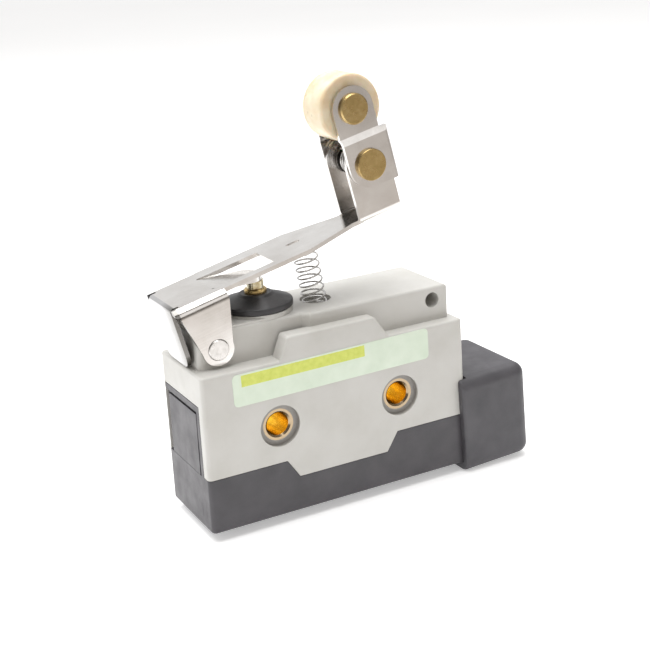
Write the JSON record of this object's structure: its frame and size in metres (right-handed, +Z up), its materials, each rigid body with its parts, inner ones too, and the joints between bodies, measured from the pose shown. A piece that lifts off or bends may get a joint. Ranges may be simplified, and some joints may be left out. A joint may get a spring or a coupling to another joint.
{
  "type": "limit switch",
  "caption": "Enclosed snap-action limit switch with a one-way hinged roller lever, sealed plunger, through mounting holes and a rubber terminal boot with a cable inlet.",
  "frame": {"origin": "midway between the two mounting holes, on the rear mounting face", "axes": "+X along the housing towards the terminal boot, +Y out of the rear mounting face, +Z up towards the roller lever"},
  "size_m": [0.072, 0.0211, 0.0804],
  "materials": {
    "case_plastic": "satin moulded",
    "base_plastic": "satin moulded",
    "boot_rubber": "soft satin",
    "seal_rubber": "matte",
    "screw_steel": "zinc plated",
    "pin_steel": "turned",
    "lever_steel": "bright nickel-plated sheet",
    "spring_steel": "drawn wire",
    "brass": "turned",
    "spring_copper": "rolled",
    "contact_metal": "silver alloy",
    "switch_moulding": "moulded",
    "label_film": "printed film",
    "roller_nylon": "moulded nylon"
  },
  "bodies": {
    "housing": {"case_shell": "case_plastic", "base_cover": "base_plastic", "base_gasket": "seal_rubber", "base_screws": "screw_steel", "mounting_bushes": "brass", "rating_label": "label_film", "terminal_boot": "boot_rubber", "inlet_grommet": "boot_rubber", "lever_pivot_pin": "pin_steel", "plunger_guide": "brass", "plunger_diaphragm": "seal_rubber", "lever_return_spring": "spring_steel", "plunger_overtravel_spring": "spring_steel", "switch_case": "switch_moulding", "switch_cover": "switch_moulding", "switch_cover_rivets": "brass", "common_terminal": "brass", "normally_open_terminal": "brass", "normally_closed_terminal": "brass", "terminal_screws": "screw_steel", "terminal_washers": "screw_steel", "normally_open_contact": "contact_metal", "normally_closed_bracket": "brass", "normally_closed_contact": "contact_metal"},
    "lever": {"actuating_lever": "lever_steel"},
    "knuckle": {"one_way_knuckle": "lever_steel", "roller_axle": "brass", "knuckle_rivet": "brass", "rivet_sleeve": "brass", "knuckle_torsion_spring": "spring_steel"},
    "roller": {"roller": "roller_nylon"},
    "plunger": {"plunger": "brass", "plunger_collar": "brass"},
    "switch_pin": {"switch_pin": "switch_moulding"},
    "snap_blade": {"snap_blade": "spring_copper", "snap_spring": "spring_copper", "moving_contact": "contact_metal"}
  },
  "joints": [
    {"name": "lever_hinge", "type": "hinge", "parent": "housing", "child": "lever", "pos_m": [-0.0222, -0.009, 0.016], "axis": [0, 1, 0], "range_deg": [0, 9.5], "stiffness_Nm_per_rad": 0.15, "springref_deg": -11.46, "deforming": ["lever_return_spring"]},
    {"name": "knuckle_fold", "type": "hinge", "parent": "lever", "child": "knuckle", "pos_m": [0.01188, -0.009, 0.04398], "axis": [0, 1, 0], "range_deg": [-80, 0], "stiffness_Nm_per_rad": 0.01, "springref_deg": 34.38},
    {"name": "roller_spin", "type": "hinge", "parent": "knuckle", "child": "roller", "pos_m": [0.00916, -0.009, 0.05444], "axis": [0, 1, 0], "continuous": true},
    {"name": "plunger_slide", "type": "slide", "parent": "housing", "child": "plunger", "axis": [0, 0, -1], "range_m": [0, 0.0021], "deforming": ["plunger_diaphragm", "plunger_overtravel_spring"]},
    {"name": "switch_pin_slide", "type": "slide", "parent": "housing", "child": "switch_pin", "axis": [0, 0, -1], "range_m": [0, 0.0002]},
    {"name": "blade_tilt", "type": "hinge", "parent": "housing", "child": "snap_blade", "pos_m": [-0.0205, -0.009, 0.0066], "axis": [0, 1, 0], "range_deg": [0, 1.1]}
  ],
  "couplings": [
    {"joint": "plunger_slide", "follows": "lever_hinge", "m_per_rad": 0.0123},
    {"joint": "switch_pin_slide", "follows": "lever_hinge", "m_per_rad": 0.001013},
    {"joint": "blade_tilt", "follows": "lever_hinge", "ratio": 0.1055}
  ]
}
